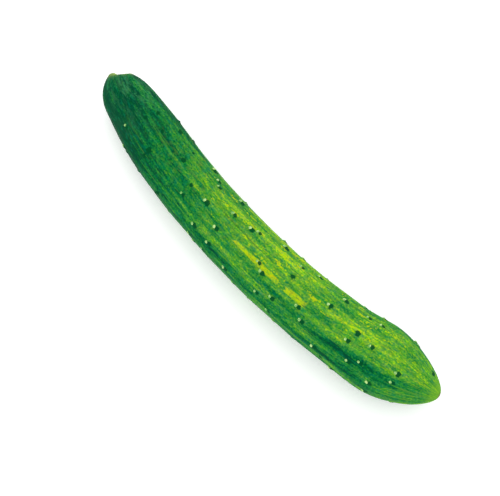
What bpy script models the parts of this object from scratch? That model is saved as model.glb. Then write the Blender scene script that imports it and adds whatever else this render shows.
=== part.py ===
"""A whole fresh cucumber, lying on its side as picked: one solid fruit with a stem scar and a blossom scar.

Run it with blender --background --python part.py, or from Blender's text editor. Metres, +Z up.
The stem end is at -X and the blossom end at +X, and the fruit bows towards -Y. It rests on the plane z = 0,
and the origin is the middle of the underside of its box.
"""

import math

import bmesh
import bpy
import numpy as np
from mathutils import Matrix, Vector

# The fruit's body, from the stem end's shoulder to the blossom end's.
LENGTH = 0.211  # along the bent centreline, between the middles of the two scars
STEM_RADIUS = 0.0139  # of the body, where the stem end's shoulder meets it
BLOSSOM_RADIUS = 0.0152  # of the body, where the blossom end starts to close
SWELLING = 0.0010  # that the body is fatter still, just before the blossom end
SWELLING_FROM_TIP = 0.0315
SWELLING_REACH = 0.0145

# The two ends. A shoulder is the length over which an end rounds off. A fall and a bluntness of 2 make it an
# ellipse: more fall keeps it fat for longer, and less bluntness makes its tip more pointed.
STEM_SHOULDER = 0.0445
STEM_FALL = 2.4
STEM_BLUNTNESS = 2.6
BLOSSOM_SHOULDER = 0.0335
BLOSSOM_FALL = 2.0
BLOSSOM_BLUNTNESS = 1.5
STEM_BULGE = 0.0014  # that the stem end is fuller on the outer side of its hook
STEM_BULGE_PLACE = 0.0075
STEM_BULGE_REACH = 0.0065

# How the fruit is bent, and how it lies.
BEND = math.radians(32)  # between the two ends, as one even arc
HOOK = math.radians(29)  # that the stem end turns further
HOOK_REACH = 0.0150
SETTLING = 0.00025  # depth to which the underside is flattened where it lies

# The two scars, each sunk in the middle of its end. The stem's has a puckered rim around it.
STEM_SCAR_RADIUS = 0.0030
STEM_SCAR_DEPTH = 0.0009
STEM_SCAR_DISC = 0.0020  # radius of the flat middle, where the stem's strands broke off
STEM_RIM_RADIUS = 0.0042
STEM_RIM_WIDTH = 0.0019
STEM_RIM_SADDLE = 0.0015  # that the rim stands out further at its two sides than above and below
BLOSSOM_SCAR_RADIUS = 0.0018
BLOSSOM_SCAR_DEPTH = 0.0004

# The three seed chambers show as faint lobes.
LOBES = 3
LOBE_HEIGHT = 0.00022
LOBE_TURN = math.radians(55)

# The warts: blunt cones, scattered over the skin by two irrational steps, from which each strays a little.
WARTS = 132
WART_RADIUS = 0.0014
WART_TIP_RADIUS = 0.0006
WART_HEIGHT = 0.0008
WART_ROOT = 0.0009  # that a wart reaches down into the skin
WART_SIDES = 8
WARTS_FROM_STEM = 0.026
WARTS_FROM_TIP = 0.010
WART_STATION_STEP = 0.7548776662
WART_TURN_STEP = 0.5698402910
WART_STRAYING = 0.0030
WART_CLEARANCE = 0.0040  # lowest that a wart may stand, clear of what the fruit lies on
WART_SPACING = 0.0045  # least distance between the middles of two warts

# How finely the skin is divided.
SIDES = 36
ROWS = 64
ROW_CROWDING = 0.80  # 0 spaces the rows evenly, and 1 draws them together at the two tips
CENTRELINE_STEPS = 420

SKIN_GREEN = (0.035, 0.220, 0.030, 1.0)


def clear_scene():
    for obj in list(bpy.data.objects):
        bpy.data.objects.remove(obj, do_unlink=True)


def body_radius(x):
    """The tapered body between the two shoulders, carried on past them, x from the stem end."""
    share = (x - STEM_SHOULDER) / (LENGTH - STEM_SHOULDER - BLOSSOM_SHOULDER)
    swelling = SWELLING * math.exp(-(((LENGTH - SWELLING_FROM_TIP - x) / SWELLING_REACH) ** 2))
    return STEM_RADIUS + (BLOSSOM_RADIUS - STEM_RADIUS) * share + swelling


def rounding(share, fall, bluntness):
    """How fat an end still is at a share of its shoulder: 1 where the body meets it, and 0 at the tip."""
    share = min(max(share, 0.0), 1.0)
    return (1 - share**fall) ** (1 / bluntness)


def skin_radius(x):
    """The fruit's mean radius at a distance x from its stem end."""
    opened = rounding(1 - x / STEM_SHOULDER, STEM_FALL, STEM_BLUNTNESS)
    closed = rounding(1 - (LENGTH - x) / BLOSSOM_SHOULDER, BLOSSOM_FALL, BLOSSOM_BLUNTNESS)
    return (STEM_SCAR_DISC + (body_radius(x) - STEM_SCAR_DISC) * opened) * closed


def scar_depth(x, radius):
    """How far the skin is sunk towards the middle of the fruit, at either scar."""
    if x < LENGTH / 2:
        return STEM_SCAR_DEPTH * math.exp(-((radius / STEM_SCAR_RADIUS) ** 2))
    return -BLOSSOM_SCAR_DEPTH * math.exp(-((radius / BLOSSOM_SCAR_RADIUS) ** 2))


def rim_saddle(x, radius, turn):
    """How far the stem scar's rim stands out at this turn."""
    if x > LENGTH / 2:
        return 0.0
    rim = math.exp(-(((radius - STEM_RIM_RADIUS) / STEM_RIM_WIDTH) ** 2))
    return STEM_RIM_SADDLE * math.cos(2 * turn) * rim


def profile():
    """(distance from the stem end, radius) from the middle of the stem scar to the middle of the blossom's."""
    points = [(0.0, 0.0)]
    for row in range(ROWS):
        share = row / ROWS
        crowded = (1 - math.cos(math.pi * share)) / 2
        x = LENGTH * ((1 - ROW_CROWDING) * share + ROW_CROWDING * crowded)
        points.append((x, skin_radius(x)))
    points.append((LENGTH, 0.0))
    return [(x + scar_depth(x, radius), radius) for x, radius in points]


def turned_fruit():
    """The straight fruit, turned about the X axis from its profile, as a bmesh."""
    outline = bpy.data.meshes.new("outline")
    points = [Vector((x, 0, radius)) for x, radius in profile()]
    outline.from_pydata(points, [(i, i + 1) for i in range(len(points) - 1)], [])
    turned = bpy.data.objects.new("turned", outline)
    bpy.context.scene.collection.objects.link(turned)
    screw = turned.modifiers.new("turn", "SCREW")
    screw.axis = "X"
    screw.steps = SIDES
    screw.render_steps = SIDES
    screw.use_merge_vertices = True
    screw.merge_threshold = 0.00001
    bm = bmesh.new()
    bm.from_object(turned, bpy.context.evaluated_depsgraph_get())
    bpy.data.objects.remove(turned)
    bpy.data.meshes.remove(outline)
    bmesh.ops.remove_doubles(bm, verts=bm.verts, dist=0.00001)
    bmesh.ops.recalc_face_normals(bm, faces=bm.faces)
    return bm


class Centreline:
    """The fruit's middle line: bent sideways as an arc with a hooked stem end, and as high as the body is fat."""

    def __init__(self):
        self.x = np.linspace(0, LENGTH, CENTRELINE_STEPS + 1)
        hook = HOOK * np.clip(1 - self.x / HOOK_REACH, 0, 1) ** 2
        self.heading = BEND * (self.x / LENGTH - 0.5) - hook
        middle = (self.heading[1:] + self.heading[:-1]) / 2
        step = LENGTH / CENTRELINE_STEPS
        self.along = np.concatenate([[0], np.cumsum(np.cos(middle)) * step])
        self.across = np.concatenate([[0], np.cumsum(np.sin(middle)) * step])

    def point(self, x):
        return Vector((
            np.interp(x, self.x, self.along),
            np.interp(x, self.x, self.across),
            body_radius(x) - SETTLING,
        ))

    def outward(self, x, turn):
        """The direction out of the fruit at x, turned from its +Y side up towards its top."""
        heading = np.interp(x, self.x, self.heading)
        side = math.cos(turn)
        return Vector((-side * math.sin(heading), side * math.cos(heading), math.sin(turn)))


def uneven(x, radius, turn):
    """The radius at this turn, with the fruit's lobes and the bulge of its stem end."""
    lobe = LOBE_HEIGHT * math.cos(LOBES * (turn - LOBE_TURN))
    bulge = STEM_BULGE * math.exp(-(((x - STEM_BULGE_PLACE) / STEM_BULGE_REACH) ** 2))
    outer_side = max(0.0, -math.cos(turn))
    return radius * (1 + (lobe + bulge * outer_side) / BLOSSOM_RADIUS)


def bend(bm, centreline):
    """Makes the straight fruit uneven, bends it along its centreline and settles it where it lies."""
    for vert in bm.verts:
        x, y, z = vert.co
        turn = math.atan2(z, y)
        straight_radius = math.hypot(y, z)
        radius = uneven(x, straight_radius, turn)
        x -= rim_saddle(x, straight_radius, turn)
        vert.co = centreline.point(x) + centreline.outward(x, turn) * radius
        vert.co.z = max(0.0, vert.co.z)


def stray(number, key):
    """A fixed but irregular share from -1 to 1, for a wart's number."""
    return 2 * ((97 * math.sin(12.9898 * number + key)) % 1) - 1


def wart_places(centreline):
    """(point on the skin, direction out of it) of each wart that has room to grow."""
    places = []
    for number in range(WARTS):
        share = (number * WART_STATION_STEP) % 1
        x = WARTS_FROM_STEM + (LENGTH - WARTS_FROM_STEM - WARTS_FROM_TIP) * share
        x += WART_STRAYING * stray(number, 0)
        turn = math.tau * ((number * WART_TURN_STEP) % 1)
        turn += WART_STRAYING / BLOSSOM_RADIUS * stray(number, 2)
        outward = centreline.outward(x, turn)
        point = centreline.point(x) + outward * uneven(x, skin_radius(x), turn)
        clear = point.z > WART_CLEARANCE
        apart = all((point - other).length > WART_SPACING for other, _ in places)
        if clear and apart:
            places.append((point, outward))
    return places


def grow_warts(centreline):
    bm = bmesh.new()
    depth = WART_ROOT + WART_HEIGHT
    flare = (WART_RADIUS - WART_TIP_RADIUS) * WART_ROOT / WART_HEIGHT
    for point, outward in wart_places(centreline):
        middle = point + outward * (WART_HEIGHT - depth / 2)
        upright = outward.to_track_quat("Z", "Y").to_matrix().to_4x4()
        bmesh.ops.create_cone(
            bm,
            cap_ends=True,
            segments=WART_SIDES,
            radius1=WART_RADIUS + flare,
            radius2=WART_TIP_RADIUS,
            depth=depth,
            matrix=Matrix.Translation(middle) @ upright,
        )
    return bm


def centre_on_origin(meshes):
    """Moves the fruit and its warts together until the middle of their box is over the origin."""
    for axis in (0, 1):
        places = [vert.co[axis] for bm in meshes for vert in bm.verts]
        middle = (min(places) + max(places)) / 2
        for bm in meshes:
            for vert in bm.verts:
                vert.co[axis] -= middle


def skin_material():
    material = bpy.data.materials.new("cucumber_skin")
    material.use_nodes = True
    shader = material.node_tree.nodes["Principled BSDF"]
    shader.inputs["Base Color"].default_value = SKIN_GREEN
    shader.inputs["Roughness"].default_value = 0.42
    shader.inputs["Metallic"].default_value = 0.0
    material.diffuse_color = SKIN_GREEN
    return material


def make_object(name, bm, collection):
    mesh = bpy.data.meshes.new(name)
    bm.to_mesh(mesh)
    bm.free()
    obj = bpy.data.objects.new(name, mesh)
    collection.objects.link(obj)
    return obj


def make_collection(name):
    collection = bpy.data.collections.new(name)
    bpy.context.scene.collection.children.link(collection)
    return collection


def make_cucumber():
    centreline = Centreline()
    fruit = turned_fruit()
    bend(fruit, centreline)
    warts = grow_warts(centreline)
    centre_on_origin([fruit, warts])

    cucumber = make_object("cucumber", fruit, make_collection("cucumber"))
    cucumber.data.shade_smooth()
    cucumber.data.set_sharp_from_angle(angle=math.radians(40))
    cucumber.data.materials.append(skin_material())

    cutter = make_object("warts", warts, make_collection("cutters"))
    cutter.hide_render = True
    cutter.display_type = "WIRE"
    union = cucumber.modifiers.new("warts", "BOOLEAN")
    union.operation = "UNION"
    union.object = cutter
    return cucumber


clear_scene()
make_cucumber()
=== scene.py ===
import math

import bpy
import numpy as np
from mathutils import Matrix, Vector, noise


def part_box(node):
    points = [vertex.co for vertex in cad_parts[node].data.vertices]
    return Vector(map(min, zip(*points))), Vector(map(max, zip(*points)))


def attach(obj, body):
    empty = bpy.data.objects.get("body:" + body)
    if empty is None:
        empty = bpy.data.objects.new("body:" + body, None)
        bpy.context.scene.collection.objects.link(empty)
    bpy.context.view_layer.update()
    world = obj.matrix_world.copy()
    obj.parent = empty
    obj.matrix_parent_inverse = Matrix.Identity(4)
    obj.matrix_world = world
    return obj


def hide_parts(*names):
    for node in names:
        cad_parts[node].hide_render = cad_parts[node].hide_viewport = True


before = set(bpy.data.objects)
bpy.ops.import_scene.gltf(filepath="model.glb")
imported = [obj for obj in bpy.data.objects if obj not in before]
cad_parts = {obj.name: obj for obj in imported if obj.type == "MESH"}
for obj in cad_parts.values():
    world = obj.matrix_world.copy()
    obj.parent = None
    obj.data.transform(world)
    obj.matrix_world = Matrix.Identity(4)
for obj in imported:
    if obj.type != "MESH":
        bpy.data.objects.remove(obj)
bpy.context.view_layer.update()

# The fruit. A cucumber is one long berry, and its skin, flesh and seeds grow as one piece. It is picked off
# its stalk, which leaves a notch in the stem end, and its flower leaves a small scar at the other end. It
# lies on its side, bowed, and the skin gives a little where it touches what it lies on.

LENGTH = 0.211  # along the bent middle line
STEM_RADIUS = 0.0139
BLOSSOM_RADIUS = 0.0152
SWELLING = 0.0010
SWELLING_FROM_TIP = 0.0315
SWELLING_REACH = 0.0145

STEM_SHOULDER = 0.0445
STEM_FALL = 2.4
STEM_BLUNTNESS = 2.6
BLOSSOM_SHOULDER = 0.0335
BLOSSOM_FALL = 2.0
BLOSSOM_BLUNTNESS = 1.5

BEND = math.radians(32)
HOOK = math.radians(29)
HOOK_REACH = 0.0150
SETTLING = 0.00025

STEM_SCAR_RADIUS = 0.0030
STEM_SCAR_DEPTH = 0.0009
STEM_SCAR_DISC = 0.0020
STEM_RIM_RADIUS = 0.0042  # of the puckered rim around the stem scar
STEM_RIM_WIDTH = 0.0019
STEM_RIM_SADDLE = 0.0015  # that the rim stands higher at its sides than above and below
STEM_BULGE = 0.0014  # that the stem end is fuller on the outer side of its hook
STEM_BULGE_PLACE = 0.0075
STEM_BULGE_REACH = 0.0065
BLOSSOM_SCAR_RADIUS = 0.0018
BLOSSOM_SCAR_DEPTH = 0.0004

LOBES = 3
LOBE_HEIGHT = 0.00022
LOBE_TURN = math.radians(55)
RIBS = 11
RIB_HEIGHT = 0.00013
RIB_WANDER = 0.35  # radians that a rib strays by, along the fruit
RIB_WANDER_LENGTH = 0.6 * LENGTH
LUMP_HEIGHT = 0.00030
LUMP_SIZE = 0.017

SKIN_SIDES = 208
SKIN_ROWS = 430
ROW_CROWDING = 0.62  # how far the rows draw together towards both ends
DISC_ROWS = 5  # inside the stem scar
MIDDLE_LINE_POINTS = 421


def body_radius(x):
    share = (x - STEM_SHOULDER) / (LENGTH - STEM_SHOULDER - BLOSSOM_SHOULDER)
    swelling = SWELLING * np.exp(-(((LENGTH - SWELLING_FROM_TIP - x) / SWELLING_REACH) ** 2))
    return STEM_RADIUS + (BLOSSOM_RADIUS - STEM_RADIUS) * share + swelling


def rounding(share, fall, bluntness):
    return (1 - np.clip(share, 0, 1) ** fall) ** (1 / bluntness)


def skin_radius(x):
    opened = rounding(1 - x / STEM_SHOULDER, STEM_FALL, STEM_BLUNTNESS)
    closed = rounding(1 - (LENGTH - x) / BLOSSOM_SHOULDER, BLOSSOM_FALL, BLOSSOM_BLUNTNESS)
    return (STEM_SCAR_DISC + (body_radius(x) - STEM_SCAR_DISC) * opened) * closed


def bend_along_middle(x, side, height):
    """Moves points from beside the straight fruit's middle line to beside the bent one's."""
    stations = np.linspace(0, LENGTH, MIDDLE_LINE_POINTS)
    heading = BEND * (stations / LENGTH - 0.5) - HOOK * np.clip(1 - stations / HOOK_REACH, 0, 1) ** 2
    between = (heading[1:] + heading[:-1]) / 2
    along = np.concatenate([[0], np.cumsum(np.cos(between)) * stations[1]])
    across = np.concatenate([[0], np.cumsum(np.sin(between)) * stations[1]])
    turn = np.interp(x, stations, heading)
    return np.column_stack([
        np.interp(x, stations, along) - side * np.sin(turn),
        np.interp(x, stations, across) + side * np.cos(turn),
        np.maximum(body_radius(x) - SETTLING + height, 0),
    ])


def make_skin():
    """The skin, closed at both ends. Each face's corners run anticlockwise as seen from outside, because the
    warts are raised along the faces' normals and would become pits if those pointed inwards."""
    share = np.arange(SKIN_ROWS) / (SKIN_ROWS - 1)
    crowded = (1 - np.cos(math.pi * share)) / 2
    stations = LENGTH * ((1 - ROW_CROWDING) * share + ROW_CROWDING * crowded)
    x = np.concatenate([np.zeros(DISC_ROWS), stations[:-1]])
    disc = STEM_SCAR_DISC * (np.arange(DISC_ROWS) + 0.5) / (DISC_ROWS + 0.5)
    radius = np.concatenate([disc, skin_radius(stations[:-1])])
    x = np.concatenate([[0], x, [LENGTH]])
    radius = np.concatenate([[0], radius, [0]])
    rows = len(x)

    turn = math.tau * np.arange(SKIN_SIDES) / SKIN_SIDES
    xs = np.repeat(x[1:-1], SKIN_SIDES)
    rs = np.repeat(radius[1:-1], SKIN_SIDES)
    ts = np.tile(turn, rows - 2)
    xs = np.concatenate([[x[0]], xs, [x[-1]]])
    rs = np.concatenate([[0], rs, [0]])
    ts = np.concatenate([[0], ts, [0]])

    straight = np.column_stack([xs, BLOSSOM_RADIUS * np.cos(ts), BLOSSOM_RADIUS * np.sin(ts)])
    girth = rs.copy()
    stem_side = xs < LENGTH / 2
    sunk = np.where(
        stem_side,
        STEM_SCAR_DEPTH * np.exp(-((rs / STEM_SCAR_RADIUS) ** 2)),
        -BLOSSOM_SCAR_DEPTH * np.exp(-((rs / BLOSSOM_SCAR_RADIUS) ** 2)),
    )
    rim = np.exp(-(((rs - STEM_RIM_RADIUS) / STEM_RIM_WIDTH) ** 2))
    sunk -= np.where(stem_side, STEM_RIM_SADDLE * np.cos(2 * ts) * rim, 0)
    wander = RIB_WANDER * np.sin(math.tau * xs / RIB_WANDER_LENGTH)
    swell = LOBE_HEIGHT * np.cos(LOBES * (ts - LOBE_TURN)) + RIB_HEIGHT * np.cos(RIBS * ts + wander)
    bulge = STEM_BULGE * np.exp(-(((xs - STEM_BULGE_PLACE) / STEM_BULGE_REACH) ** 2))
    bulge = bulge * np.clip(-np.cos(ts), 0, 1)
    points = np.column_stack([xs, rs * np.cos(ts), rs * np.sin(ts)])
    lumps = np.array([noise.noise(Vector(point) / LUMP_SIZE) for point in points])
    rs = rs * (1 + (swell + bulge + LUMP_HEIGHT * lumps) / BLOSSOM_RADIUS)
    bent = bend_along_middle(xs + sunk, rs * np.cos(ts), rs * np.sin(ts))

    low, high = (Vector(corner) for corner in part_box("cucumber"))
    bent[:, 0] += (low.x + high.x) / 2 - (bent[:, 0].min() + bent[:, 0].max()) / 2
    bent[:, 1] += (low.y + high.y) / 2 - (bent[:, 1].min() + bent[:, 1].max()) / 2

    faces = []
    last = len(bent) - 1
    for side in range(SKIN_SIDES):
        after = (side + 1) % SKIN_SIDES
        faces.append((0, 1 + after, 1 + side))
    for row in range(rows - 3):
        start = 1 + row * SKIN_SIDES
        for side in range(SKIN_SIDES):
            after = (side + 1) % SKIN_SIDES
            faces.append((start + side, start + after, start + SKIN_SIDES + after, start + SKIN_SIDES + side))
    start = 1 + (rows - 3) * SKIN_SIDES
    for side in range(SKIN_SIDES):
        after = (side + 1) % SKIN_SIDES
        faces.append((start + side, start + after, last))

    mesh = bpy.data.meshes.new("skin")
    mesh.from_pydata(bent.tolist(), [], faces)
    mesh.shade_smooth()
    mesh.attributes.new("grain", "FLOAT_VECTOR", "POINT").data.foreach_set("vector", straight.ravel())
    mesh.attributes.new("girth", "FLOAT", "POINT").data.foreach_set("value", girth)

    corners = np.empty(len(mesh.loops), dtype=int)
    mesh.loops.foreach_get("vertex_index", corners)
    around = ts[corners] / math.tau
    uv = np.column_stack([xs[corners] / LENGTH, around])
    faces_of = np.repeat(np.arange(len(mesh.polygons)), [len(face) for face in faces])
    high_turn = np.zeros(len(faces))
    np.maximum.at(high_turn, faces_of, around)
    pole = (corners == 0) | (corners == last)
    wraps = (high_turn[faces_of] > 0.75) & (around < 0.25) & ~pole
    uv[wraps, 1] += 1
    mesh.uv_layers.new(name="unrolled").data.foreach_set("uv", uv.ravel())
    return mesh


skin = bpy.data.objects.new("skin", make_skin())
bpy.context.scene.collection.objects.link(skin)


class Wire:
    """A socket in a node tree. Python's operators on it add Math nodes."""

    def __init__(self, tree, socket):
        self.tree = tree
        self.socket = socket

    def math(self, operation, *others):
        inputs = dict(enumerate((self,) + others))
        return self.tree.add("ShaderNodeMath", {"operation": operation}, inputs)

    def __add__(self, other):
        return self.math("ADD", other)

    def __sub__(self, other):
        return self.math("SUBTRACT", other)

    def __rsub__(self, other):
        return self.tree.add("ShaderNodeMath", {"operation": "SUBTRACT"}, {0: other, 1: self})

    def __mul__(self, other):
        return self.math("MULTIPLY", other)

    def __truediv__(self, other):
        return self.math("DIVIDE", other)

    __radd__ = __add__
    __rmul__ = __mul__

    def part(self, name):
        """One of the other outputs of this wire's node."""
        return Wire(self.tree, self.socket.node.outputs[name])

    def above(self, low, high):
        """0 under low and 1 over high, with a smooth step between."""
        settings = {"interpolation_type": "SMOOTHSTEP"}
        inputs = {"Value": self, "From Min": low, "From Max": high}
        return self.tree.add("ShaderNodeMapRange", settings, inputs)


class Tree:
    """A node tree that is being made."""

    def __init__(self, tree):
        self.tree = tree

    def add(self, kind, settings=None, inputs=None):
        """Makes a node with these settings, and with these values or links, and returns its first output."""
        node = self.tree.nodes.new(kind)
        for name, value in (settings or {}).items():
            setattr(node, name, value)
        for key, value in (inputs or {}).items():
            if isinstance(key, int):
                socket = node.inputs[key]
            else:
                socket = next(s for s in node.inputs if s.name == key and s.enabled)
            if isinstance(value, Wire):
                self.tree.links.new(value.socket, socket)
            else:
                socket.default_value = value
        outputs = [s for s in node.outputs if s.enabled]
        return Wire(self, outputs[0]) if outputs else None

    def split(self, vector):
        wire = self.add("ShaderNodeSeparateXYZ", inputs={0: vector})
        return wire, wire.part("Y"), wire.part("Z")


def geometry_tree(name, inputs):
    """A Geometry Nodes tree with these inputs, {name: (socket type, value)}, after its geometry."""
    group = bpy.data.node_groups.new(name, "GeometryNodeTree")
    group.interface.new_socket("Geometry", in_out="INPUT", socket_type="NodeSocketGeometry")
    for label, (kind, value) in inputs.items():
        socket = group.interface.new_socket(label, in_out="INPUT", socket_type="NodeSocket" + kind)
        if value is not None:
            socket.default_value = value
    group.interface.new_socket("Geometry", in_out="OUTPUT", socket_type="NodeSocketGeometry")
    tree = Tree(group)
    source = tree.add("NodeGroupInput")
    return tree, {s.name: Wire(tree, s) for s in source.socket.node.outputs if s.name}


# The warts stand where spines grew, scattered evenly along and around the skin, and none is left under the
# belly that the fruit lies on. Each is a low round mound that the skin runs up over without an edge.

WART_SIZES = {
    "Warts": ("Int", 132),
    "First Station": ("Float", 0.026 / LENGTH),
    "Last Station": ("Float", 1 - 0.010 / LENGTH),
    "Lean": ("Float", 0.0),  # towards the stem, as a share of the length
    "Straying": ("Float", 0.0030),
    "Clearance": ("Float", 0.0040),
    "Seed": ("Int", 11),
}
MOUND_SIZES = {
    "Mound Radius": ("Float", 0.0016),
    "Mound Height": ("Float", 0.00045),
    "Wart Shade Radius": ("Float", 0.0017),
    "Wart Shade Lean": ("Float", -0.0006 / LENGTH),  # the wart's dark skin and painted shadow lie on its side away from the stem and the lamp
}
STATION_STEP = 0.7548776662  # this and the next spread the warts evenly without lining them up
TURN_STEP = 0.5698402910
STRAY_STEP = 12.9898  # this and the next make each wart's straying irregular
STRAY_SPREAD = 97
SMALLEST_WART = 0.65
LARGEST_WART = 1.20


def wart_places():
    """The group that places the warts' middles on a skin, with a size and a way out of the skin on each."""
    tree, given = geometry_tree("wart_places", WART_SIZES)
    number = tree.add("GeometryNodeInputIndex")

    def stray(key):
        """A fixed but irregular distance for each wart, up to the straying either way."""
        share = ((number * STRAY_STEP + key).math("SINE") * STRAY_SPREAD).math("FRACT")
        return given["Straying"] * (share * 2 - 1)

    station = (number * STATION_STEP).math("FRACT")
    station = given["First Station"] + (given["Last Station"] - given["First Station"]) * station
    station = station + stray(0) / LENGTH - given["Lean"]
    turn = (number * TURN_STEP + stray(2) / (math.tau * BLOSSOM_RADIUS)).math("FRACT")
    place = tree.add("ShaderNodeCombineXYZ", inputs={0: station, 1: turn})
    vector = {"data_type": "FLOAT_VECTOR"}
    unrolled = tree.add("GeometryNodeInputNamedAttribute", vector, {"Name": "unrolled"})

    def on_skin(value):
        return tree.add(
            "GeometryNodeSampleUVSurface",
            {"data_type": "FLOAT_VECTOR"},
            {"Mesh": given["Geometry"], "Value": value, "UV Map": unrolled, "Sample UV": place},
        )

    position = on_skin(tree.add("GeometryNodeInputPosition"))
    outward = on_skin(tree.add("GeometryNodeInputNormal"))
    points = tree.add("GeometryNodePoints", inputs={"Count": given["Warts"], "Position": position})
    points = tree.add(
        "GeometryNodeStoreNamedAttribute",
        {"data_type": "FLOAT_VECTOR"},
        {"Geometry": points, "Name": "outward", "Value": outward},
    )
    size = tree.add(
        "FunctionNodeRandomValue",
        {"data_type": "FLOAT"},
        {"Min": SMALLEST_WART, "Max": LARGEST_WART, "ID": number, "Seed": given["Seed"] + 1},
    )
    points = tree.add(
        "GeometryNodeStoreNamedAttribute",
        {"data_type": "FLOAT"},
        {"Geometry": points, "Name": "size", "Value": size},
    )
    _, _, height = tree.split(tree.add("GeometryNodeInputPosition"))
    low = tree.add("ShaderNodeMath", {"operation": "LESS_THAN"}, {0: height, 1: given["Clearance"]})
    points = tree.add(
        "GeometryNodeDeleteGeometry", {"domain": "POINT"}, {"Geometry": points, "Selection": low}
    )
    tree.add("NodeGroupOutput", inputs={0: points})
    return tree.tree


PLACES = wart_places()


def place_warts(tree, given, **changed):
    node_inputs = {"Geometry": given["Geometry"]}
    node_inputs.update({name: changed.get(name, given[name]) for name in WART_SIZES})
    return tree.add("GeometryNodeGroup", {"node_tree": PLACES}, node_inputs)


def on_mounds(tree, points, radius):
    """How far up a round mound each place on the skin is, from 0 to 1, and the size of the nearest wart."""
    here = tree.add("GeometryNodeInputPosition")
    nearest = tree.add("GeometryNodeSampleNearest", {"domain": "POINT"}, {"Geometry": points})
    middle = tree.add(
        "GeometryNodeSampleIndex",
        {"data_type": "FLOAT_VECTOR"},
        {"Geometry": points, "Value": here, "Index": nearest},
    )
    own_size = tree.add("GeometryNodeInputNamedAttribute", {"data_type": "FLOAT"}, {"Name": "size"})
    size = tree.add(
        "GeometryNodeSampleIndex",
        {"data_type": "FLOAT"},
        {"Geometry": points, "Value": own_size, "Index": nearest},
    )
    gap = tree.add("ShaderNodeVectorMath", {"operation": "DISTANCE"}, {0: here, 1: middle}).part("Value")
    out = (gap / (radius * size)).math("MINIMUM", 1.0)
    rise = 1 - out * out
    return rise * rise, size


def skin_tree(material):
    """Raises a mound at each wart's place, and stores how far into each wart's dark patch each point of the
    skin is; the patch lies on the side away from the stem and is partly the wart's own dark green and partly
    painted shadow.
    """
    tree, given = geometry_tree("warty_skin", {**WART_SIZES, **MOUND_SIZES})
    rise, size = on_mounds(tree, place_warts(tree, given), given["Mound Radius"])
    shaded_wart_skin, _ = on_mounds(tree, place_warts(tree, given, Lean=given["Wart Shade Lean"]), given["Wart Shade Radius"])
    skin = tree.add(
        "GeometryNodeStoreNamedAttribute",
        {"data_type": "FLOAT"},
        {"Geometry": given["Geometry"], "Name": "wart_green_and_shade", "Value": shaded_wart_skin},
    )
    lift = tree.add(
        "ShaderNodeVectorMath",
        {"operation": "SCALE"},
        {0: tree.add("GeometryNodeInputNormal"), "Scale": rise * given["Mound Height"] * size},
    )
    skin = tree.add("GeometryNodeSetPosition", inputs={"Geometry": skin, "Offset": lift})
    skin = tree.add("GeometryNodeRealizeInstances", inputs={"Geometry": skin})
    skin = tree.add("GeometryNodeSetMaterial", inputs={"Geometry": skin, "Material": material})
    tree.add("NodeGroupOutput", inputs={0: skin})
    return tree.tree


def paint_ramp(ramp, stops, interpolation="LINEAR"):
    """Gives a ramp's node these (place, colour) stops."""
    shades = ramp.socket.node.color_ramp
    shades.interpolation = interpolation
    while len(shades.elements) < len(stops):
        shades.elements.new(0.5)
    for element, (place, shade) in zip(shades.elements, stops):
        element.position = place
        element.color = shade


def srgb(red, green, blue):
    """A colour as an eye sees it, each part from 0 to 255, as the shader's linear colour."""
    parts = [part / 255 for part in (red, green, blue)]
    return tuple(p / 12.92 if p <= 0.04045 else ((p + 0.055) / 1.055) ** 2.4 for p in parts) + (1.0,)


DEEP_GREEN = srgb(0, 68, 42)
LEAF_GREEN = srgb(0, 96, 46)
GRASS_GREEN = srgb(34, 121, 46)
LIME_GREEN = srgb(80, 146, 42)
YELLOW_GREEN = srgb(118, 173, 36)
YELLOW = srgb(162, 194, 26)
RIPE_YELLOW = srgb(166, 190, 14)
COOL_GREEN = srgb(0, 112, 74)
OLIVE = srgb(84, 132, 48)
# the dark green of a wart's patch, partly its own colour and partly painted shadow
WART_SHADE_GREEN = srgb(0, 70, 34)
SCAR_RIM = srgb(156, 180, 84)
# grey-green of the stem end, partly a waxy bloom and partly painted sheen
BLOOM_AND_SHEEN = srgb(62, 128, 78)
SCAR_CREAM = srgb(176, 174, 104)
SCAR_BROWN = srgb(112, 92, 52)
SCAR_DARK = srgb(62, 52, 30)
PALE_LIT_SIDE = math.radians(50)  # the turn of the paler side, partly the side that ripens first and partly painted light falling on it
# Tones along the fruit for its darker and its paler side: the skin's own colour, with painted shade on the
# darker side and painted light on the paler side.
DARK_SHADED_SIDE_TONES = (0.0, 0.0, 0.13, 0.25, 0.34, 0.36, 0.34, 0.27, 0.37, 0.48)
PALE_LIT_SIDE_TONES = (0.05, 0.18, 0.36, 0.52, 0.66, 0.75, 0.77, 0.74, 0.67, 0.62)
RIPE_STREAK_TURN = math.radians(106)
RIPE_STREAK_FROM = 0.465
RIPE_STREAK_TO = 0.675
RIPE_STREAK_HALF = 0.0012
RIPE_STREAK_GAP = 0.605


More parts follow.
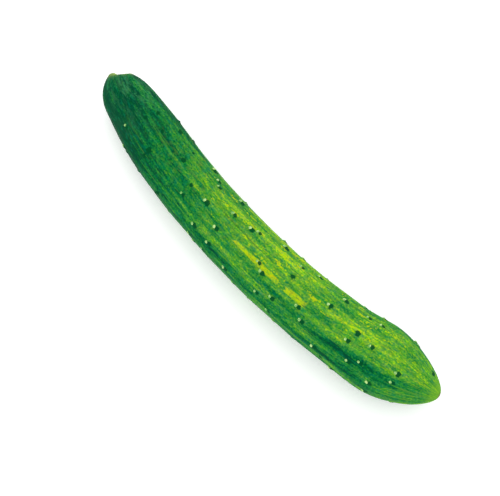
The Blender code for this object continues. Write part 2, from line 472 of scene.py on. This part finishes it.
def skin_material():
    material = bpy.data.materials.new("cucumber_skin")
    material.use_nodes = True
    material.node_tree.nodes.clear()
    tree = Tree(material.node_tree)
    grain = tree.add("ShaderNodeAttribute", {"attribute_name": "grain"}).part("Vector")
    girth = tree.add("ShaderNodeAttribute", {"attribute_name": "girth"}).part("Fac")
    wart_green_and_shade = tree.add("ShaderNodeAttribute", {"attribute_name": "wart_green_and_shade"}).part("Fac")
    x, y, z = tree.split(grain)
    station = x / LENGTH

    def streaks(long, wide, seed, detail=2.0):
        """Noise drawn out along the fruit, in streaks of this length and width, from -0.5 to 0.5."""
        stretched = tree.add(
            "ShaderNodeVectorMath",
            {"operation": "MULTIPLY_ADD"},
            {0: grain, 1: (1 / long, 1 / wide, 1 / wide), 2: (seed, seed * 1.7, seed * 0.6)},
        )
        noise_inputs = {"Vector": stretched, "Scale": 1.0, "Detail": detail}
        return tree.add("ShaderNodeTexNoise", {"noise_dimensions": "3D"}, noise_inputs) - 0.5

    def along(values):
        """These values, evenly spaced along the fruit from its stem to its blossom end."""
        ramp = tree.add("ShaderNodeValToRGB", inputs={0: station})
        paint_ramp(ramp, [(k / (len(values) - 1), (v, v, v, 1)) for k, v in enumerate(values)], "CARDINAL")
        return ramp

    def mix(first, second, share):
        return tree.add("ShaderNodeMix", {"data_type": "RGBA"}, {"Factor": share, "A": first, "B": second})

    bands = streaks(0.060, 0.0060, 33.1, 1.0)
    ridges = streaks(0.030, 0.0028, 17.9)
    strokes = streaks(0.010, 0.0015, 11.4)
    fine = streaks(0.0032, 0.0008, 23.8)
    stipple = streaks(0.0009, 0.0007, 41.3)

    # The paler side and the darker side round the fruit are partly the skin's own ripening and partly painted
    # light and painted shade.
    side = (y * math.cos(PALE_LIT_SIDE) + z * math.sin(PALE_LIT_SIDE)) / BLOSSOM_RADIUS
    pale_and_lit = side.above(-0.25, 1.20)
    dark_shaded_tone = along(DARK_SHADED_SIDE_TONES)
    tone = dark_shaded_tone + (along(PALE_LIT_SIDE_TONES) - dark_shaded_tone) * pale_and_lit
    tone = tone + bands * 0.90 + ridges * (1.22 - pale_and_lit * 0.52) + strokes * 0.55 + fine * 0.58 + stipple * 1.02

    colour = tree.add("ShaderNodeValToRGB", inputs={0: tone})
    paint_ramp(
        colour,
        [
            (0.0, DEEP_GREEN),
            (0.2, LEAF_GREEN),
            (0.42, GRASS_GREEN),
            (0.66, LIME_GREEN),
            (0.86, YELLOW_GREEN),
            (1.0, YELLOW),
        ],
    )

    lines = streaks(0.034, 0.0012, 95.0, 1.0)
    lit = lines.above(0.10, 0.20) * station.above(0.08, 0.25)
    colour = mix(colour, LIME_GREEN, lit * (0.42 + (1 - pale_and_lit) * 0.28))
    colour = mix(colour, DEEP_GREEN, (0 - lines).above(0.15, 0.24) * 0.5)

    hue = streaks(0.0030, 0.0014, 66.0)
    colour = mix(colour, COOL_GREEN, hue.above(0.02, 0.20) * 0.45)
    dull = station.above(0.12, 0.28) * (1 - station.above(0.50, 0.75)) * pale_and_lit
    colour = mix(colour, OLIVE, (0 - hue).above(0.0, 0.16) * dull * 0.45)

    # Yellow dashes on the paler side, partly ripening in the skin and partly painted highlight where the
    # light falls.
    dashes = (streaks(0.0085, 0.0022, 57.2, 1.0) + stipple * 0.5).above(0.14, 0.22)
    ripe_and_lit_side = side.above(0.35, 0.85) * station.above(0.25, 0.45) * (1 - station.above(0.82, 0.95))
    colour = mix(colour, RIPE_YELLOW, dashes * ripe_and_lit_side * (0.70 + stipple * 1.5))

    beside = (z * math.cos(RIPE_STREAK_TURN) - y * math.sin(RIPE_STREAK_TURN)).math("ABSOLUTE")
    facing = (y * math.cos(RIPE_STREAK_TURN) + z * math.sin(RIPE_STREAK_TURN)).above(0.0, 0.004)
    ragged = strokes * 0.0022 + fine * 0.0012
    streak = 1 - (beside + ragged).above(RIPE_STREAK_HALF * 0.75, RIPE_STREAK_HALF * 1.25)
    edge = fine * 0.03
    streak = streak * facing * (station + edge).above(RIPE_STREAK_FROM, RIPE_STREAK_FROM + 0.012)
    streak = streak * (1 - (station + edge).above(RIPE_STREAK_TO - 0.012, RIPE_STREAK_TO))
    gap = 1 - (station + edge - RIPE_STREAK_GAP).math("ABSOLUTE").above(0.007, 0.013)
    streak = streak * (1 - gap)
    colour = mix(colour, RIPE_YELLOW, streak * (0.78 + stipple * 1.6 + fine * 1.0))

    # Grey-green patches at the stem end, stronger on the paler side: partly a waxy bloom, partly painted
    # sheen.
    bloom_and_sheen = (streaks(0.008, 0.0030, 133.0) + fine * 0.5 + stipple * 0.5).above(-0.12, 0.22)
    bloom_and_sheen = bloom_and_sheen * (1 - station.above(0.04, 0.20)) * side.above(-0.6, 0.8)
    colour = mix(colour, BLOOM_AND_SHEEN, bloom_and_sheen * 0.50)

    tint = streaks(0.0028, 0.0015, 121.0, 1.0)
    warmth = streaks(0.0028, 0.0015, 147.0, 1.0)
    cast = tree.add(
        "ShaderNodeCombineXYZ",
        inputs={
            0: 1 - warmth * (1.0 - tone * 0.7),
            1: 1 + warmth * 0.40,
            2: (1 + tint * (0.9 + tone * 1.9)).math("MAXIMUM", 0.1),
        },
    )
    colour = tree.add("ShaderNodeVectorMath", {"operation": "MULTIPLY"}, {0: colour, 1: cast})

    # Each wart's patch of dark green on its side away from the stem and the lamp: partly the wart's own
    # colour, partly painted shadow.
    blotch = streaks(0.0019, 0.0010, 87.0)
    shaded_wart_skin = (wart_green_and_shade + blotch * 1.5).above(0.10, 0.42) * wart_green_and_shade.above(0.0, 0.06)
    colour = mix(colour, WART_SHADE_GREEN, shaded_wart_skin * 0.96)

    stem_half = 1 - station.above(0.45, 0.55)
    turned = {0: y / BLOSSOM_RADIUS, 1: z / BLOSSOM_RADIUS, 2: girth * 260}
    turned = tree.add("ShaderNodeCombineXYZ", inputs=turned)
    spokes = {"Vector": turned, "Scale": 3.2}
    spokes = tree.add("ShaderNodeTexNoise", {"noise_dimensions": "3D"}, spokes) - 0.5
    ragged_girth = girth + spokes * 0.0022

    rim_reach = ragged_girth + (strokes + fine) * 0.0016 - z * 0.11
    rim = ragged_girth.above(0.0030, 0.0036) * (1 - rim_reach.above(0.0030, 0.0068)) * stem_half
    colour = mix(colour, SCAR_RIM, rim * (0.72 + stipple * 1.2))
    scar = (1 - ragged_girth.above(0.0027, 0.0033)) * stem_half
    colour = mix(colour, SCAR_CREAM, scar)
    strands = (girth * 2600).math("SINE").above(0.35, 0.95) * spokes.above(-0.12, 0.10)
    colour = mix(colour, SCAR_BROWN, scar * strands * 0.65)
    crack = ragged_girth.above(0.0025, 0.0030) * (1 - ragged_girth.above(0.0032, 0.0037)) * stem_half
    colour = mix(colour, SCAR_BROWN, crack * 0.8)
    pit = (1 - girth.above(0.0002, 0.0009)) * stem_half
    colour = mix(colour, SCAR_DARK, pit * 0.7)

    tip = station.above(0.968, 0.992) * (0.55 + stipple * 1.2)
    colour = mix(colour, YELLOW_GREEN, tip)
    blossom_scar = (1 - ragged_girth.above(0.0010, 0.0022)) * (1 - stem_half)
    colour = mix(colour, SCAR_BROWN, blossom_scar * 0.85)
    heart = (1 - ragged_girth.above(0.0002, 0.0009)) * (1 - stem_half)
    colour = mix(colour, SCAR_DARK, heart * 0.8)

    bump = tree.add(
        "ShaderNodeBump",
        inputs={"Strength": 0.5, "Distance": 0.0005, "Height": stipple * 0.6 + fine * 0.5 + strokes * 0.5},
    )
    shader = tree.add(
        "ShaderNodeBsdfPrincipled",
        inputs={
            "Base Color": colour,
            "Roughness": 0.52 + fine * 0.22,
            "Specular IOR Level": 0.015,
            "Normal": bump,
        },
    )
    tree.add("ShaderNodeOutputMaterial", inputs={"Surface": shader})
    return material


def apply_tree(piece, group, **sizes):
    """Runs a Geometry Nodes tree on a piece and keeps the result as its plain mesh."""
    modifier = piece.modifiers.new("grow", "NODES")
    modifier.node_group = group
    for socket in group.interface.items_tree:
        if socket.in_out == "INPUT" and socket.name in sizes:
            modifier[socket.identifier] = sizes[socket.name]
    depsgraph = bpy.context.evaluated_depsgraph_get()
    grown = bpy.data.meshes.new_from_object(
        piece.evaluated_get(depsgraph), preserve_all_data_layers=True, depsgraph=depsgraph
    )
    piece.modifiers.remove(modifier)
    piece.data = grown


apply_tree(skin, skin_tree(skin_material()))
skin.data.shade_smooth()
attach(skin, "root")
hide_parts("cucumber")

# The spines' stumps. Each wart carried a soft white spine, which is brushed off at picking and leaves a pale,
# dry stump on the wart's side that faces the stem. That side faces the lamp too, and the stump's pale colour
# there is partly a painted highlight on the wart.

STUMP_SIZES = {
    "Stump Radius": ("Float", 0.00084),
    "Stump Flatness": ("Float", 0.50),
    "Stump Dents": ("Float", 0.00070),
    "Stumps Kept": ("Float", 0.90),
    "Kept Near Stem": ("Float", 0.30),
    "Stem Third Ends": ("Float", -0.22 * LENGTH),
}
STUMP_SEGMENTS = 8
STUMP_RINGS = 6
STUMP_PER_WART = 0.5  # how much of a wart's own size its stump takes on
SMALLEST_STUMP = 0.46
DENT_SCALE = 1100.0


def stump_tree(material):
    tree, given = geometry_tree("spine_stumps", {**WART_SIZES, **STUMP_SIZES})
    points = place_warts(tree, given)
    number = tree.add("GeometryNodeInputIndex")
    lost = tree.add(
        "FunctionNodeRandomValue",
        {"data_type": "FLOAT"},
        {"Min": 0.0, "Max": 1.0, "ID": number, "Seed": given["Seed"] + 5},
    )
    along, _, _ = tree.split(tree.add("GeometryNodeInputPosition"))
    past_stem = tree.add(
        "ShaderNodeMath", {"operation": "GREATER_THAN"}, {0: along, 1: given["Stem Third Ends"]}
    )
    kept = given["Kept Near Stem"] + (given["Stumps Kept"] - given["Kept Near Stem"]) * past_stem
    lost = tree.add("ShaderNodeMath", {"operation": "GREATER_THAN"}, {0: lost, 1: kept})
    points = tree.add(
        "GeometryNodeDeleteGeometry", {"domain": "POINT"}, {"Geometry": points, "Selection": lost}
    )
    stump = tree.add(
        "GeometryNodeMeshUVSphere",
        inputs={"Segments": STUMP_SEGMENTS, "Rings": STUMP_RINGS, "Radius": given["Stump Radius"]},
    )
    squashed = tree.add("ShaderNodeCombineXYZ", inputs={0: 1.0, 1: 1.0, 2: given["Stump Flatness"]})
    stump = tree.add("GeometryNodeTransform", inputs={"Geometry": stump, "Scale": squashed})
    vector = {"data_type": "FLOAT_VECTOR"}
    outward = tree.add("GeometryNodeInputNamedAttribute", vector, {"Name": "outward"})
    upright = tree.add("FunctionNodeAlignRotationToVector", {"axis": "Z"}, {"Vector": outward})
    size = tree.add("GeometryNodeInputNamedAttribute", {"data_type": "FLOAT"}, {"Name": "size"})
    stumps = tree.add(
        "GeometryNodeInstanceOnPoints",
        inputs={
            "Points": points,
            "Instance": stump,
            "Rotation": upright,
            "Scale": size * STUMP_PER_WART + SMALLEST_STUMP,
        },
    )
    stumps = tree.add("GeometryNodeRealizeInstances", inputs={"Geometry": stumps})
    here = tree.add("GeometryNodeInputPosition")
    dents = {"Vector": here, "Scale": DENT_SCALE}
    dents = tree.add("ShaderNodeTexNoise", {"noise_dimensions": "3D"}, dents).part("Color")
    dents = tree.add("ShaderNodeVectorMath", {"operation": "SUBTRACT"}, {0: dents, 1: (0.5, 0.5, 0.5)})
    dents = {0: dents, "Scale": given["Stump Dents"]}
    dents = tree.add("ShaderNodeVectorMath", {"operation": "SCALE"}, dents)
    stumps = tree.add("GeometryNodeSetPosition", inputs={"Geometry": stumps, "Offset": dents})
    stumps = tree.add("GeometryNodeSetMaterial", inputs={"Geometry": stumps, "Material": material})
    tree.add("NodeGroupOutput", inputs={0: stumps})
    return tree.tree


def stump_material():
    material = bpy.data.materials.new("spine_stump")
    material.use_nodes = True
    material.node_tree.nodes.clear()
    tree = Tree(material.node_tree)
    where = tree.add("ShaderNodeTexCoord").part("Object")
    mottle = tree.add("ShaderNodeTexNoise", {"noise_dimensions": "3D"}, {"Vector": where, "Scale": 900.0})
    # Pale green to cream, partly the dry stump's own colour and partly a painted highlight.
    colour = tree.add(
        "ShaderNodeMix",
        {"data_type": "RGBA"},
        {"Factor": mottle.above(0.35, 0.65), "A": srgb(98, 164, 76), "B": srgb(178, 212, 130)},
    )
    shader = tree.add("ShaderNodeBsdfPrincipled", inputs={"Base Color": colour, "Roughness": 0.7})
    tree.add("ShaderNodeOutputMaterial", inputs={"Surface": shader})
    return material


stumps = bpy.data.objects.new("spine_stumps", skin.data.copy())
bpy.context.scene.collection.objects.link(stumps)
apply_tree(stumps, stump_tree(stump_material()), **{"Lean": 0.0009 / LENGTH})
stumps.data.shade_smooth()
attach(stumps, "root")
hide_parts("cucumber")

# The floor is a plain sheet of white board. It glows a little, as a product table that is lit from beneath
# does, so that the shadow on it stays faint.

FLOOR_REACH = 3.0  # each way from the fruit

floor_mesh = bpy.data.meshes.new("floor")
signs = ((-1, -1), (1, -1), (1, 1), (-1, 1))
corners = [(x_sign * FLOOR_REACH, y_sign * FLOOR_REACH, 0) for x_sign, y_sign in signs]
floor_mesh.from_pydata(corners, [], [(0, 1, 2, 3)])
floor = bpy.data.objects.new("floor", floor_mesh)
floor_material = bpy.data.materials.new("white_board")
floor_material.use_nodes = True
board = floor_material.node_tree.nodes["Principled BSDF"]
board.inputs["Base Color"].default_value = (0.94, 0.94, 0.94, 1)
board.inputs["Roughness"].default_value = 0.9
board.inputs["Specular IOR Level"].default_value = 0.1
board.inputs["Emission Color"].default_value = (1, 1, 1, 1)
board.inputs["Emission Strength"].default_value = 0.2
floor_mesh.materials.append(floor_material)
bpy.context.scene.collection.objects.link(floor)

# The camera looks down on the fruit from over its blossom end's outer side, through a long lens.

VIEW_TILT = math.radians(72)  # above level
VIEW_TURN = math.radians(46.3)  # from the fruit's length to the view's width
VIEW_WIDTH = 0.2222222  # that the view takes in at the fruit
VIEW_SHIFT_ACROSS = 0.0027556  # that the fruit's middle stands right of the view's
VIEW_SHIFT_UP = 0.0016889
LENS = 180
SENSOR = 36

across = Vector((math.cos(VIEW_TURN), math.sin(VIEW_TURN), 0))
away = Vector((-math.sin(VIEW_TURN), math.cos(VIEW_TURN), 0))
look = away * math.cos(VIEW_TILT) - Vector((0, 0, 1)) * math.sin(VIEW_TILT)
up = across.cross(look)
low, high = (Vector(corner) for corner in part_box("cucumber"))
middle = (low + high) / 2
distance = VIEW_WIDTH * LENS / SENSOR
aim = middle - across * VIEW_SHIFT_ACROSS - up * VIEW_SHIFT_UP
camera_data = bpy.data.cameras.new("camera")
camera_data.lens = LENS
camera_data.sensor_width = SENSOR
camera_data.clip_start = 0.05
camera = bpy.data.objects.new("camera", camera_data)
rotation = Matrix((across, up, -look)).transposed()
camera.matrix_world = Matrix.Translation(aim - look * distance) @ rotation.to_4x4()
bpy.context.scene.collection.objects.link(camera)
bpy.context.scene.camera = camera

# The light is a white room with one large soft lamp beyond the stem end.

LAMP_TILT = math.radians(48)  # above level
LAMP_DISTANCE = 1.0
LAMP_SIZE = 0.9
LAMP_POWER = 1.2
ROOM_STRENGTH = 1.25

world = bpy.data.worlds.new("room")
world.use_nodes = True
world.node_tree.nodes["Background"].inputs["Color"].default_value = (1, 1, 1, 1)
world.node_tree.nodes["Background"].inputs["Strength"].default_value = ROOM_STRENGTH
bpy.context.scene.world = world

lamp = bpy.data.lights.new("key", "AREA")
lamp.shape = "DISK"
lamp.size = LAMP_SIZE
lamp.energy = LAMP_POWER
towards_lamp = away * math.cos(LAMP_TILT) + Vector((0, 0, math.sin(LAMP_TILT)))
holder = bpy.data.objects.new("key", lamp)
holder.location = middle + towards_lamp.normalized() * LAMP_DISTANCE
holder.rotation_euler = towards_lamp.to_track_quat("Z", "Y").to_euler()
bpy.context.scene.collection.objects.link(holder)

bpy.context.scene.view_settings.view_transform = "Standard"

bpy.context.view_layer.update()
